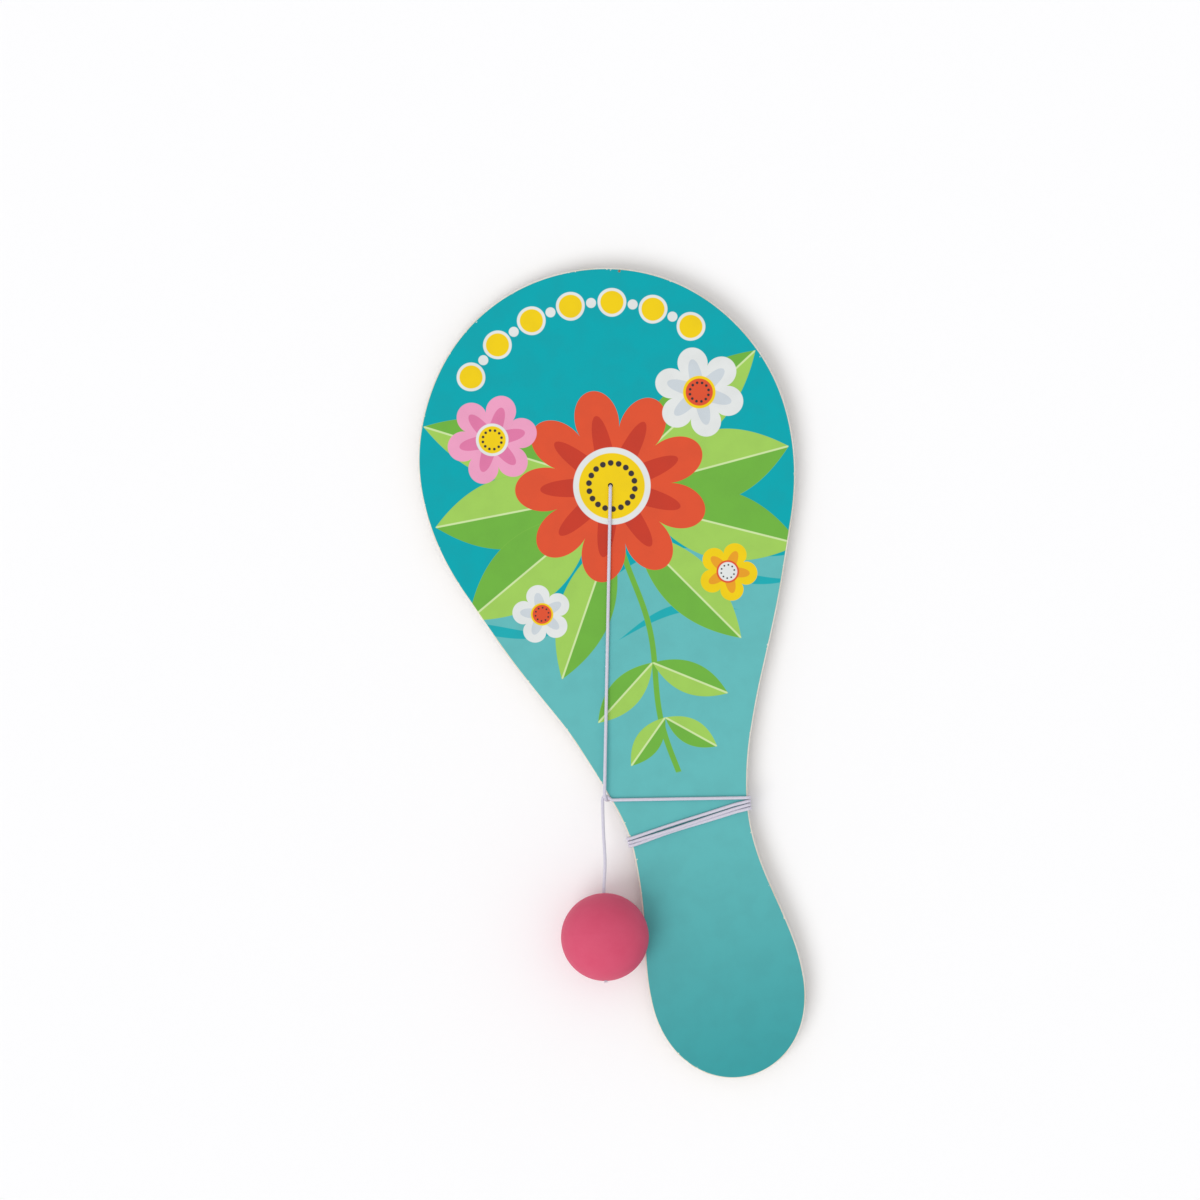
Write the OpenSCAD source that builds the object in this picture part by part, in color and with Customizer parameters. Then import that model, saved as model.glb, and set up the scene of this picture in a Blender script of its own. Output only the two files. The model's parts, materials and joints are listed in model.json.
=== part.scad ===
// Paddle ball game: a printed wooden paddle with a rubber ball on an elastic cord.
// The game lies face up on a table, with its cord wound round the neck of the paddle.
// X runs across the paddle, +Y towards its head, +Z up out of the printed face, and Z = 0 is the table.

/* [Paddle] */
// Length from the top of the head to the end of the grip
paddle_len = 264; // [230:1:300]
// Width of the head at its widest line
head_w = 120; // [100:1:140]
// Height of the head above its widest line
head_rise = 62; // [50:0.5:75]
// How square the top of the head is, where 2 is a true oval
head_square = 2.03; // [2:0.01:2.2]
// Half length of the oval that shapes the head below its widest line
head_fall = 69; // [60:0.5:78]
// Slope of the straight flanks below the head, measured from the paddle's axis
flank_angle = 23.9; // [20:0.1:27]
// Width of the neck at its narrowest
neck_w = 38.2; // [32:0.2:46]
// Radius of the hollow curve on each side of the neck
neck_r = 79; // [60:1:95]
// Width of the grip at its widest
grip_w = 50; // [42:0.2:58]
// Length of the oval end of the grip, from its widest line
grip_end = 28.4; // [22:0.2:36]
// Thickness of the wooden board
board_t = 4.4; // [3:0.1:7]
// Radius of the eased edges of the board
edge_r = 0.3; // [0.2:0.1:1.4]

/* [Print] */
// Thickness of the printed sheet on the front face
print_t = 0.15; // [0.1:0.05:0.4]
// Flat bare wood left between the sheet and the eased edge
print_margin = 0.05; // [0:0.05:2]

/* [Cord] */
// Diameter of the elastic cord
cord_d = 1.2; // [1:0.1:1.6]
// Room round the cord in its hole through the board
hole_gap = 0.2; // [0.15:0.05:0.6]
// Distance of the hole below the head's widest line
hole_drop = 7.7; // [0:0.1:20]
// Distance of the hole to the left of the paddle's axis
hole_out = 0.4; // [0:0.1:3]
// Space between the wound cord and the board
cord_gap = 0.2; // [0.15:0.05:0.4]
// Space between neighbouring turns of the wound cord
turn_gap = 0.5; // [0.45:0.05:0.8]
// Turns that lie side by side on the neck
neck_turns = 3; // [1:1:4]

/* [Ball] */
// Diameter of the rubber ball
ball_d = 28; // [24:0.5:34]
// Space between the ball and the edge of the paddle
ball_gap = 0.4; // [0.3:0.1:3]
// Room round the cord and its knot inside the ball
bore_gap = 0.15; // [0.1:0.05:0.3]
// Diameter of the mouth over the knot, where the cord's end shows
mouth_d = 2.6; // [2:0.1:4]
// Depth of the knot's middle below the ball's surface
knot_depth = 3.4; // [3.2:0.1:5]
// Depth of the cord's cut end below the ball's surface
tail_recess = 0.3; // [0:0.1:1]

/* [Hidden] */

cord_r = cord_d / 2;
layer = cord_d + turn_gap;
hole_d = cord_d + 2 * hole_gap;
print_inset = edge_r + print_margin;

// Heights: two layers of cord behind the board hold it off the table, pressed flat where they stand
stand_flat = cord_d / 10;
back_z = cord_gap + cord_d + layer - stand_flat;
board_top = back_z + board_t;
face_z = board_top + print_t;
front_cord_z = face_z + cord_gap + cord_r;
over_cord_z = front_cord_z + layer;

// Outline: the head's oval, straight flanks, the neck's hollow curves and the grip's oval end
head_a = head_w / 2;
neck_a = neck_w / 2;
grip_a = grip_w / 2;
head_y = paddle_len / 2 - head_rise;
grip_y = grip_end - paddle_len / 2;
flank_turn = atan(tan(flank_angle) * head_fall / head_a);
flank_top = [head_a * cos(flank_turn), head_y - head_fall * sin(flank_turn)];
flank_low_x = neck_a + neck_r * (1 - cos(flank_angle));
flank_low = [flank_low_x, flank_top.y - (flank_top.x - flank_low_x) / tan(flank_angle)];
neck_y = flank_low.y - neck_r * sin(flank_angle);
hole_at = [-hole_out, head_y - hole_drop];

head_steps = 18;
shoulder_steps = 5;
neck_steps = 7;
grip_steps = 9;
end_steps = 12;
quarter = [0, 30, 60, 90];

// Half width of the board beside the neck's hollow curve
function neck_edge(y) = neck_a + neck_r - sqrt(neck_r * neck_r - pow(y - neck_y, 2));

// Half width of the board between the neck and the widest line of the grip
function grip_edge(y) =
    neck_a + (grip_a - neck_a) * (1 - cos(180 * (neck_y - y) / (neck_y - grip_y))) / 2;

right_side = concat(
    [for (i = [0:head_steps]) let (a = 90 - 90 * i / head_steps)
        [head_a * pow(cos(a), 2 / head_square), head_y + head_rise * pow(sin(a), 2 / head_square)]],
    [for (i = [1:shoulder_steps]) let (a = flank_turn * i / shoulder_steps)
        [head_a * cos(a), head_y - head_fall * sin(a)]],
    [for (i = [0:neck_steps]) let (a = flank_angle * (1 - i / neck_steps))
        [neck_a + neck_r * (1 - cos(a)), neck_y + neck_r * sin(a)]],
    [for (i = [1:grip_steps]) let (y = neck_y + (grip_y - neck_y) * i / grip_steps)
        [grip_edge(y), y]],
    [for (i = [1:end_steps]) let (a = 90 * i / end_steps)
        [grip_a * cos(a), grip_y - grip_end * sin(a)]]
);
outline = concat(
    [for (p = right_side) [-p.x, p.y]],
    [for (i = [len(right_side) - 2:-1:1]) right_side[i]]
);

function first(p) = p[0];
function last(p) = p[len(p) - 1];
function reversed(p) = [for (i = [len(p) - 1:-1:0]) p[i]];
function unit(v) = v / norm(v);
function mix(a, b, t) = a + (b - a) * t;
function smooth(t) = let (u = min(max(t, 0), 1)) u * u * (3 - 2 * u);

// The outline drawn in by a distance, each point along its own normal
function drawn_in(points, by) = [for (i = [0:len(points) - 1])
    let (n = len(points), along = unit(points[(i + 1) % n] - points[(i + n - 1) % n]))
    points[i] + by * [-along.y, along.x]];

// Triangles that join one ring of points to the next, with both ends of the stack closed
function ring_faces(rings, count) = concat(
    [for (r = [0:rings - 2]) for (k = [0:count - 1])
        let (a = r * count + k, b = r * count + (k + 1) % count)
        each [[a, a + count, b], [b, a + count, b + count]]],
    [[for (k = [0:count - 1]) k]],
    [[for (k = [count - 1:-1:0]) (rings - 1) * count + k]]
);

// A flat board with round eased edges, built up as rings of the drawn-in outline
module eased_board(points, thickness, radius) {
    back_edge = [for (a = quarter) [radius * (1 - sin(a)), radius * (1 - cos(a))]];
    profile = concat(back_edge, [for (e = reversed(back_edge)) [e[0], thickness - e[1]]]);
    rings = [for (e = profile) for (p = drawn_in(points, e[0])) [p.x, p.y, e[1]]];
    polyhedron(rings, ring_faces(len(profile), len(points)), convexity = 4);
}

// Direction of a path at each of its points, and a side vector carried along it without twist
function headings(p) = [for (i = [0:len(p) - 1])
    unit(p[min(i + 1, len(p) - 1)] - p[max(i - 1, 0)])];
function carried(t, side, i = 0) =
    let (s = unit(side - (side * t[i]) * t[i]))
    i == len(t) - 1 ? [s] : concat([s], carried(t, s, i + 1));

// A round tube swept along a path, with a radius for each point of the path
cord_sides = 8;
wound_sides = 6;
module tube(path, radii, sides) {
    t = headings(path);
    start = abs(t[0].z) < 0.9 ? [0, 0, 1] : [1, 0, 0];
    s = carried(t, start);
    points = [for (i = [0:len(path) - 1]) for (k = [0:sides - 1])
        let (a = 360 * (k + 0.5) / sides)
        path[i] + radii[i] * (cos(a) * s[i] + sin(a) * cross(t[i], s[i]))];
    polyhedron(points, ring_faces(len(path), sides), convexity = 10);
}
module cord_tube(path, sides) tube(path, [for (p = path) cord_r], sides);

// A curve that passes smoothly through every point, with a number of steps from each to the next
function bent(p, steps) = concat(
    [for (i = [0:len(p) - 2]) for (k = [0:steps - 1])
        let (a = p[max(i - 1, 0)], b = p[i], c = p[i + 1], d = p[min(i + 2, len(p) - 1)], u = k / steps)
        ((2 * b) + (c - a) * u + (2 * a - 5 * b + 4 * c - d) * u * u
            + (3 * b - a - 3 * c + d) * u * u * u) / 2],
    [p[len(p) - 1]]
);

// An overhand knot about Z: three lobes, opened so that one end rises on the axis
knot_mid_r = 1.25 * cord_d;
knot_lobe = 0.58 * cord_d;
knot_rise = 0.67 * cord_d;
knot_open = 27;
knot_steps = 36;
knot_half = knot_rise + cord_r;
back_knot_z = knot_half - stand_flat;
knot_out_r = knot_mid_r + knot_lobe + cord_r;
function knot_point(a) = let (r = knot_mid_r + knot_lobe * cos(3 * a))
    [r * cos(2 * a), r * sin(2 * a), knot_rise * sin(3 * a)];
knot_loops = [for (i = [0:knot_steps]) knot_point(knot_open + (360 - 2 * knot_open) * i / knot_steps)];
knot_neck_z = knot_rise + 1.9 * cord_r;
knot_bend = [0.12 * knot_mid_r, 0.06 * knot_mid_r, knot_rise + 0.5 * cord_r];
knot_end_z = knot_neck_z + cord_d;
knot_neck = [[0, 0, knot_end_z], [0, 0, knot_neck_z], knot_bend];
axis_tail = [
    [knot_bend.x, -knot_bend.y, -knot_bend.z],
    [0, 0, -knot_neck_z],
    [0, 0, tail_recess - knot_depth]
];
side_tail = [
    [knot_mid_r + 0.9 * cord_d, -0.9 * cord_d, -knot_rise],
    [knot_mid_r + 2.2 * cord_d, -0.7 * cord_d, -knot_rise],
    [knot_mid_r + 3.6 * cord_d, -0.9 * cord_d, -knot_rise]
];

// The cord's turn round one edge of the neck, from behind the board to its front
wrap_r = edge_r + cord_gap + cord_r;
function edge_turn(side, y, drop = 0) = let (x = neck_edge(y) - edge_r) concat(
    [for (a = reversed(quarter))
        [side * (x + wrap_r * cos(a)), y, back_z + edge_r - (wrap_r + drop) * sin(a)]],
    [for (a = quarter)
        [side * (x + wrap_r * cos(a)), y, face_z - edge_r + wrap_r * sin(a)]]
);

// Places of the turns on the neck, above its narrowest line, and of the hitch at its left edge
right_turn_up = 5.6;
left_turn_up = 3.5;
hitch_up = 22.6;
hitch_out = 1.4;
dive_up = 19.4;
function right_y(i) = neck_y + right_turn_up + i * layer;
function left_y(i) = neck_y + left_turn_up + i * layer;
hitch_y = neck_y + hitch_up;
dive_y = neck_y + dive_up;
hitch_x = -(neck_edge(hitch_y) + hitch_out);

// The last strand behind the neck crosses over the others, one layer further out
cross_start = 0.7;
cross_ramp = 0.1;
cross_steps = 20;
function cross_drop(t) =
    layer * (cross_start + (1 - cross_start) * smooth(min(t, 1 - t) / cross_ramp));

// A straight strand between two ends of turns, without the ends themselves
strand_steps = 6;
function strand(a, b) = [for (i = [1:strand_steps - 1]) mix(a, b, i / strand_steps)];

// Front run: up through the hole, over its rim and straight down the face to the hitch
run_top = [hole_at.x, hole_at.y, front_cord_z];
run_end = [hitch_x, hitch_y, over_cord_z];
run_way = unit(run_end - run_top);
hitch_approach = 8;
run_stop = run_end - hitch_approach * run_way;
run_steps = 32;
rim_bend = 1;
front_run = concat(
    [[hole_at.x, hole_at.y, back_knot_z + knot_end_z]],
    [for (a = quarter) let (out = rim_bend * (1 - cos(a)), up = rim_bend * (sin(a) - 1))
        run_top + [out * run_way.x, out * run_way.y, up]],
    [for (i = [1:run_steps]) mix(run_top + rim_bend * run_way, run_stop, i / run_steps)]
);

// Where the run dives round the left edge, after it has crossed the hitch
dive = [
    run_stop,
    run_stop + cord_d * run_way,
    mix(run_stop, run_end, 0.5),
    run_end,
    [hitch_x - 0.2, hitch_y - 1.1, over_cord_z - 0.2],
    [hitch_x - 0.25, hitch_y - 1.9, over_cord_z - 0.85],
    [hitch_x - 0.15, hitch_y - 2.5, over_cord_z - 1.9],
    [hitch_x + 0.05, hitch_y - 2.8, over_cord_z - 3.1],
    [hitch_x + 0.25, hitch_y - 3, over_cord_z - 4.6]
];

// The hitch: the last strand on the front bends up, passes under the run and turns down to the ball
hitch = [
    [hitch_x + 4.2, hitch_y - 3.2, front_cord_z],
    [hitch_x + 2.5, hitch_y - 2.5, front_cord_z],
    [hitch_x + 1.7, hitch_y - 1.4, front_cord_z],
    [hitch_x + 0.9, hitch_y - 0.4, front_cord_z],
    [hitch_x, hitch_y, front_cord_z],
    [hitch_x - 1, hitch_y - 0.3, front_cord_z],
    [hitch_x - 1.6, hitch_y - 1, front_cord_z]
];

// The drop hangs from the hitch to the ball, which lies on the table against the grip's left edge
drop_top = [hitch_x - 2.1, hitch_y - 3.2, front_cord_z];
ball_below_neck = 22.15;
ball_y = neck_y - ball_below_neck;
ball_z = ball_d / 2;
ball_reach = sqrt(pow(ball_d / 2, 2) - pow(ball_z - face_z, 2));
ball_mid = [-(grip_edge(ball_y) + ball_reach + ball_gap), ball_y, ball_z];
drop_way = unit(ball_mid - drop_top);
drop_len = norm(ball_mid - drop_top) - ball_d / 2;
lead_len = 5;
joint_gap = 0.3;
function along_drop(s) = drop_top + s * drop_way;

// The winding, from the end of the front run to the top of the drop
bend_steps = 2;
winding = let (
    top = neck_turns - 1,
    left_back = reversed([for (i = [0:len(quarter) - 1]) edge_turn(-1, dive_y)[i]]),
    rights = [for (i = [0:neck_turns]) edge_turn(1, right_y(i), i == neck_turns ? cross_drop(0) : 0)],
    lefts = [for (i = [0:top]) reversed(edge_turn(-1, left_y(i), i == 0 ? cross_drop(0) : 0))],
    level = [0, 0, cross_drop(0)],
    drop_start = -cord_r - joint_gap
) concat(
    bent(concat(dive, left_back), bend_steps),
    strand(last(left_back), first(rights[top])),
    [for (i = [top:-1:0]) each concat(
        rights[i],
        strand(last(rights[i]), first(lefts[i])),
        lefts[i],
        i > 0 ? strand(last(lefts[i]), first(rights[i - 1])) : []
    )],
    [for (i = [1:cross_steps - 1]) let (t = i / cross_steps)
        mix(last(lefts[0]), first(rights[neck_turns]), t) + level - [0, 0, cross_drop(t)]],
    rights[neck_turns],
    strand(last(rights[neck_turns]), first(hitch)),
    bent(concat(hitch, [along_drop(drop_start - cord_d)]), bend_steps),
    [along_drop(drop_start)]
);

// The least space between stretches of one path that lie some way apart along it
function fine(p, step) = [for (i = [0:len(p) - 2])
    let (n = max(1, ceil(norm(p[i + 1] - p[i]) / step)))
    for (k = [0:n - 1]) mix(p[i], p[i + 1], k / n)];
function least_gap(p, apart) = min([
    for (i = [0:len(p) - 1]) for (j = [i + apart:1:len(p) - 1]) norm(p[i] - p[j])
]) - cord_d;
gap_step = 0.5;
gap_apart = 9;
echo(str("cord_winding: least gap to itself ", least_gap(fine(winding, gap_step), gap_apart), " mm"));

// A frame at a point whose Z looks along a direction
module facing(point, way) {
    translate(point) rotate([0, acos(way.z), atan2(way.y, way.x)]) children();
}

// What the game stands on, cut flat at the table
module stood_flat() {
    difference() {
        children();
        translate([-head_w, -paddle_len, -cord_d]) cube([2 * head_w, 2 * paddle_len, cord_d]);
    }
}

hole_facets = 48;
ball_facets = 96;

module board() {
    color("burlywood") translate([0, 0, back_z]) difference() {
        eased_board(outline, board_t, edge_r);
        translate([hole_at.x, hole_at.y, -board_t])
            cylinder(d = hole_d, h = 3 * board_t, $fn = hole_facets);
    }
}

module front_print() {
    color("mediumturquoise") translate([0, 0, board_top]) linear_extrude(print_t) difference() {
        polygon(drawn_in(outline, print_inset));
        translate(hole_at) circle(d = hole_d, $fn = hole_facets);
    }
}

module cord_back_knot() {
    path = concat(knot_neck, knot_loops, side_tail);
    color("lavender") stood_flat() translate([hole_at.x, hole_at.y, back_knot_z])
        cord_tube(path, wound_sides);
}

module cord_front_run() {
    color("lavender") cord_tube(front_run, cord_sides);
}

module cord_winding() {
    color("lavender") stood_flat() cord_tube(winding, wound_sides);
}

// A straight piece of cord with a round top end, which bends at that end's middle
module hinged_cord(from, to) {
    caps = [75, 50, 25];
    color("lavender") tube(
        concat([for (a = caps) along_drop(from - cord_r * sin(a))], [along_drop(from), along_drop(to)]),
        concat([for (a = caps) cord_r * cos(a)], [cord_r, cord_r]),
        cord_sides
    );
}

module cord_lead() {
    hinged_cord(0, lead_len - cord_r - joint_gap);
}

module cord_drop() {
    hinged_cord(lead_len, drop_len);
}

knot_at = drop_len + ball_d - knot_depth;
knot_top = knot_at - knot_end_z;

module cord_in_ball() {
    path = [for (t = [0:1 / strand_steps:1]) along_drop(mix(drop_len, knot_top, t))];
    color("lavender") cord_tube(path, cord_sides);
}

module ball_knot() {
    path = concat(knot_neck, knot_loops, axis_tail);
    color("lavender") facing(along_drop(knot_at), -drop_way) cord_tube(path, wound_sides);
}

module ball() {
    pocket_r = knot_out_r + bore_gap;
    pocket_half = knot_half + cord_r + bore_gap;
    knot_level = ball_d / 2 - knot_depth;
    color("palevioletred") facing(ball_mid, drop_way) difference() {
        sphere(d = ball_d, $fn = ball_facets);
        translate([0, 0, -ball_d])
            cylinder(d = cord_d + 2 * bore_gap, h = ball_d + knot_level, $fn = hole_facets);
        translate([0, 0, knot_level - pocket_half])
            cylinder(r = pocket_r, h = 2 * pocket_half, $fn = hole_facets);
        translate([0, 0, knot_level]) cylinder(d = mouth_d, h = ball_d, $fn = hole_facets);
    }
}

board();
front_print();
cord_back_knot();
cord_front_run();
cord_winding();
cord_lead();
cord_drop();
cord_in_ball();
ball_knot();
ball();
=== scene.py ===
"""The looks of a paddle ball game: a printed wooden paddle, an elastic cord and a rubber ball.

X runs across the paddle, +Y towards its head and +Z up out of the printed face; lengths are in metres.
Surfaces are worked out on grids of two parameters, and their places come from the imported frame.
"""

import json
import math
from itertools import accumulate

import bpy
import numpy as np
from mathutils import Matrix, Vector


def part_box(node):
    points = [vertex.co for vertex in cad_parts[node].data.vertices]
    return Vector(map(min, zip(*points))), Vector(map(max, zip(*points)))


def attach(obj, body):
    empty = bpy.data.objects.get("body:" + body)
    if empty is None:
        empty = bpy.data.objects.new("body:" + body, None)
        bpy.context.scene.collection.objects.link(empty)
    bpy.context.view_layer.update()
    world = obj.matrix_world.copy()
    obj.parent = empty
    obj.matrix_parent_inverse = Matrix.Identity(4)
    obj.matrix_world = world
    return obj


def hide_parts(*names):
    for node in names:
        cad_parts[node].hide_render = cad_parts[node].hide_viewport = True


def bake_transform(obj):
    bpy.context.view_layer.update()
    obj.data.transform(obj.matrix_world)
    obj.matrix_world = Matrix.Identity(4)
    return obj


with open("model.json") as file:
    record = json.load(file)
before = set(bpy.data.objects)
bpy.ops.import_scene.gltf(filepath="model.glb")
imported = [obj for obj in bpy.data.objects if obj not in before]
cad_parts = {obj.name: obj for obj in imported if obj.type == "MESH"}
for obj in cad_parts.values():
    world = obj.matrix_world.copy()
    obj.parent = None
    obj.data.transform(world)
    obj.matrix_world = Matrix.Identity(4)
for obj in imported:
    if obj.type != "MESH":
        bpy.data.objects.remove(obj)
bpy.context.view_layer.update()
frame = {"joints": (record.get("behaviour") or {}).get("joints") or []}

MM = 0.001
TURN = 2 * math.pi
RIGHT_ANGLE = TURN / 4

# What the frame gives: the joints of the hanging cord, and the boxes of the board, the print and the ball
joints = {joint["name"]: joint for joint in frame["joints"]}
SWING_AT = np.array(joints["ball_swing"]["pos_m"])
LIFT_AT = np.array(joints["ball_lift"]["pos_m"])
BALL_MID = np.array(joints["ball_spin"]["pos_m"])
DROP_WAY = np.array(joints["ball_spin"]["axis"])
board_low, board_high = (np.array(corner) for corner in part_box("board"))
print_high = np.array(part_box("front_print")[1])
ball_low = np.array(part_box("ball")[0])
BACK_Z, BOARD_TOP, FACE_Z = board_low[2], board_high[2], print_high[2]
PADDLE_LEN = board_high[1] - board_low[1]
HEAD_W = board_high[0] - board_low[0]
BALL_R = BALL_MID[2] - max(ball_low[2], 0)

# The board's outline and edges; an A is half a width, and HEAD_SQUARE is the power of the head's upper oval
HEAD_RISE = 62 * MM
HEAD_SQUARE = 2.03
HEAD_FALL = 69 * MM
FLANK_ANGLE = math.radians(23.9)
NECK_A = 19.1 * MM
NECK_R = 79 * MM
GRIP_A = 25 * MM
GRIP_END = 28.4 * MM
EDGE_R = 0.3 * MM
PRINT_INSET = 0.35 * MM
HOLE_DROP = 7.7 * MM
HOLE_OUT = 0.4 * MM
HOLE_R = 0.8 * MM
# Where the cut board is fuller, or below zero slimmer, than the plain curves: height, reach, left and right
SWELLS = np.array([
    [106, 26, -0.45, -0.2], [14, 34, 1.1, 0.95], [-31, 23, 1.42, 0.45],
    [-60, 22, 0.56, -0.2], [-110, 18, -0.2, -0.4],
]) * MM

# The cord and its winding; here it lies closer to the board than its solid may
CORD_D = 1.08 * MM
CORD_R = CORD_D / 2
CORD_GAP = 0.05 * MM
# How far the run lifts over the hitch, how flat the cord is where it stands, and its bend over the hole's rim
OVER_LIFT = 1.12 * MM
STAND_FLAT = 0.12 * MM
RIM_BEND = 1 * MM
# Heights of the turns above the narrowest place of the neck, from the lowest
RIGHT_UPS = np.array([7.17, 8.35, 9.53, 10.7]) * MM
LEFT_UPS = np.array([4.02, 5.1, 6.32]) * MM
# The strands across the front, from the lowest: a tuck by the right edge, a bow, and a lift over a neighbour
STRAND_TUCKS = np.array([0.28, 0.15, 0.3]) * MM
STRAND_BOWS = np.array([0.36, -0.14, 0.12]) * MM
STRAND_LIFTS = np.array([0, 0.9, 0]) * MM
TUCK_REACH = 0.12
# The hitch, where the run ends, and points beside that: the dive round the left edge, and the hitch's bend
HITCH_UP = 21.58 * MM
HITCH_OUT = 1.1 * MM
DIVE_UP = 19.83 * MM
DIVE = np.array([
    [0.05, -0.6, -0.1], [0.12, -1.1, -0.6], [0.15, -1.4, -1.3],
    [0.45, -1.6, -2.4], [0.75, -1.7, -3.6], [0.9, -1.75, -4.8],
]) * MM
HITCH = np.array([
    [4.6, -2.45], [2.1, -1.95], [1.3, -1.3], [0.8, -0.45], [0, 0], [-0.6, -0.5], [-0.95, -1.3],
]) * MM
# The share of the run that lies on the print, and how far the free length starts and bows beside its line
RUN_LIES = 0.55
DROP_START = 0.22 * MM
DROP_BOW = 0.5 * MM
# The power that moves the top of a bow past its middle
HUMP_LEAN = 1.6
# How many points each stretch of the route has, its rounding's step and width, and the step between rings
RUN_POINTS, STRAND_POINTS, DROP_POINTS, KNOT_POINTS = 60, 40, 24, 90
ROUTE_STEP, CORNER_WIDTH, RING_STEP = 0.05 * MM, 1.2 * MM, 0.2 * MM
# The cord's braided cover
CORD_SIDES = 24
BRAID_STRANDS = 6
BRAID_PITCH = 4.8 * MM
BRAID_DEPTH = 0.07 * MM

# The ball's bore, pocket and mouth
BORE_GAP = 0.15 * MM
MOUTH_R = 1.3 * MM
KNOT_DEPTH = 3.4 * MM
TAIL_RECESS = 0.3 * MM

# Places along the outline that follow from these
HEAD_A = HEAD_W / 2
HEAD_Y = PADDLE_LEN / 2 - HEAD_RISE
GRIP_Y = GRIP_END - PADDLE_LEN / 2
FLANK_TURN = math.atan(math.tan(FLANK_ANGLE) * HEAD_FALL / HEAD_A)
FLANK_TOP = (HEAD_A * math.cos(FLANK_TURN), HEAD_Y - HEAD_FALL * math.sin(FLANK_TURN))
FLANK_LOW_X = NECK_A + NECK_R * (1 - math.cos(FLANK_ANGLE))
FLANK_LOW_Y = FLANK_TOP[1] - (FLANK_TOP[0] - FLANK_LOW_X) / math.tan(FLANK_ANGLE)
NECK_Y = FLANK_LOW_Y - NECK_R * math.sin(FLANK_ANGLE)
HOLE = np.array([-HOLE_OUT, HEAD_Y - HOLE_DROP])


# Curves and grids

def smooth(t):
    """An even ease from 0 to 1: 3t^2 - 2t^3, held outside."""
    t = np.clip(t, 0, 1)
    return t * t * (3 - 2 * t)


def leaning_hump(t):
    """A hump over 0 to 1 whose top lies past the middle: the squared sine of half a turn times t^lean."""
    return np.sin(math.pi * t ** HUMP_LEAN) ** 2


def unit(vectors):
    """Vectors divided by their lengths."""
    return vectors / np.linalg.norm(vectors, axis=-1, keepdims=True)


def lengths_along(points):
    """The distance from the first point to each point, along the straight pieces between them."""
    return np.concatenate([[0], np.cumsum(np.linalg.norm(np.diff(points, axis=0), axis=1))])


def at_lengths(points, wanted):
    """The points of a path at the wanted distances along it, linear between its own points."""
    far = lengths_along(points)
    return np.stack([np.interp(wanted, far, column) for column in points.T], axis=1)


def spaced(points, step):
    """A path again, as points an even step apart."""
    total = lengths_along(points)[-1]
    return at_lengths(points, np.linspace(0, total, max(2, round(total / step) + 1)))


def softened(points, step, width):
    """A path with its corners rounded: even points, each the mean of its neighbours under a cosine bell."""
    fine = spaced(points, step)
    half = round(width / step / 2)
    bell = 1 + np.cos(np.linspace(-math.pi, math.pi, 2 * half + 3)[1:-1])
    before = fine[0] + (fine[0] - fine[1:half + 1][::-1])
    after = fine[-1] + (fine[-1] - fine[-half - 1:-1][::-1])
    longer = np.concatenate([before, fine, after])
    return np.stack([np.convolve(column, bell / bell.sum(), "valid") for column in longer.T], axis=1)


def grid_faces(rows, columns, close_rows=False):
    """The corners of each cell of a grid that is closed across its columns, as places in its flat list."""
    r = np.arange(rows if close_rows else rows - 1)[:, None]
    c = np.arange(columns)[None, :]
    up, on = (r + 1) % rows, (c + 1) % columns
    corners = [r * columns + c, r * columns + on, up * columns + on, up * columns + c]
    cells = [np.broadcast_to(corner, (r.size, c.size)) for corner in corners]
    return np.stack(cells, axis=-1).reshape(-1, 4)


def cell_uv(along, across, close_rows=False):
    """UV of the four corners of each cell of a grid that is closed across its columns.

    along has one value for each row, and across one for each column and one more for the seam.
    """
    rows = np.stack([along, np.roll(along, -1)], axis=1)[: None if close_rows else -1]
    cols = np.stack([across[:-1], across[1:]], axis=1)
    a, b = rows[:, None, :], cols[None, :, :]
    shape = (rows.shape[0], cols.shape[0])
    u = np.stack([np.broadcast_to(a[..., k], shape) for k in (0, 0, 1, 1)], axis=-1)
    v = np.stack([np.broadcast_to(b[..., k], shape) for k in (0, 1, 1, 0)], axis=-1)
    return np.stack([u, v], axis=-1).reshape(-1, 2)


def make_piece(name, points, quads, material, uv=None, caps=()):
    """A mesh object at the origin, smooth on its quads and flat on its caps, with an optional UV map."""
    mesh = bpy.data.meshes.new(name)
    mesh.from_pydata(points.reshape(-1, 3).tolist(), [], quads.tolist() + [list(cap) for cap in caps])
    mesh.polygons.foreach_set("use_smooth", [True] * len(quads) + [False] * len(caps))
    if uv is not None:
        ends = np.zeros((sum(len(cap) for cap in caps), 2))
        layer = mesh.uv_layers.new(name="surface")
        layer.data.foreach_set("uv", np.concatenate([uv, ends]).astype(np.float32).ravel())
    mesh.materials.append(material)
    mesh.update()
    piece = bpy.data.objects.new(name, mesh)
    bpy.context.scene.collection.objects.link(piece)
    return piece


# The cord's route, from the cut end behind the board to the cut end in the ball

QUARTER_ARC = np.radians([0, 15, 30, 45, 60, 75, 90])
FRONT_Z = FACE_Z + CORD_GAP + CORD_R
OVER_Z = FRONT_Z + OVER_LIFT
WRAP_R = EDGE_R + CORD_GAP + CORD_R
# How much further out the crossing strand lies behind the board, so that it stands on the table
CROSS_LAYER = BACK_Z - CORD_GAP - CORD_D + STAND_FLAT


def swell(side, y):
    """How much fuller one side of the board is than the plain curves: a sum of smooth bells along it."""
    bells = [smooth(1 - abs(y - mid) / reach) * np.where(side < 0, left, right)
             for mid, reach, left, right in SWELLS]
    return sum(bells)


def neck_edge(side, y):
    """The board's edge beside the neck: a hollow arc about a point outside, and the swell."""
    return NECK_A + NECK_R - math.sqrt(NECK_R ** 2 - (y - NECK_Y) ** 2) + swell(side, y)


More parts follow.
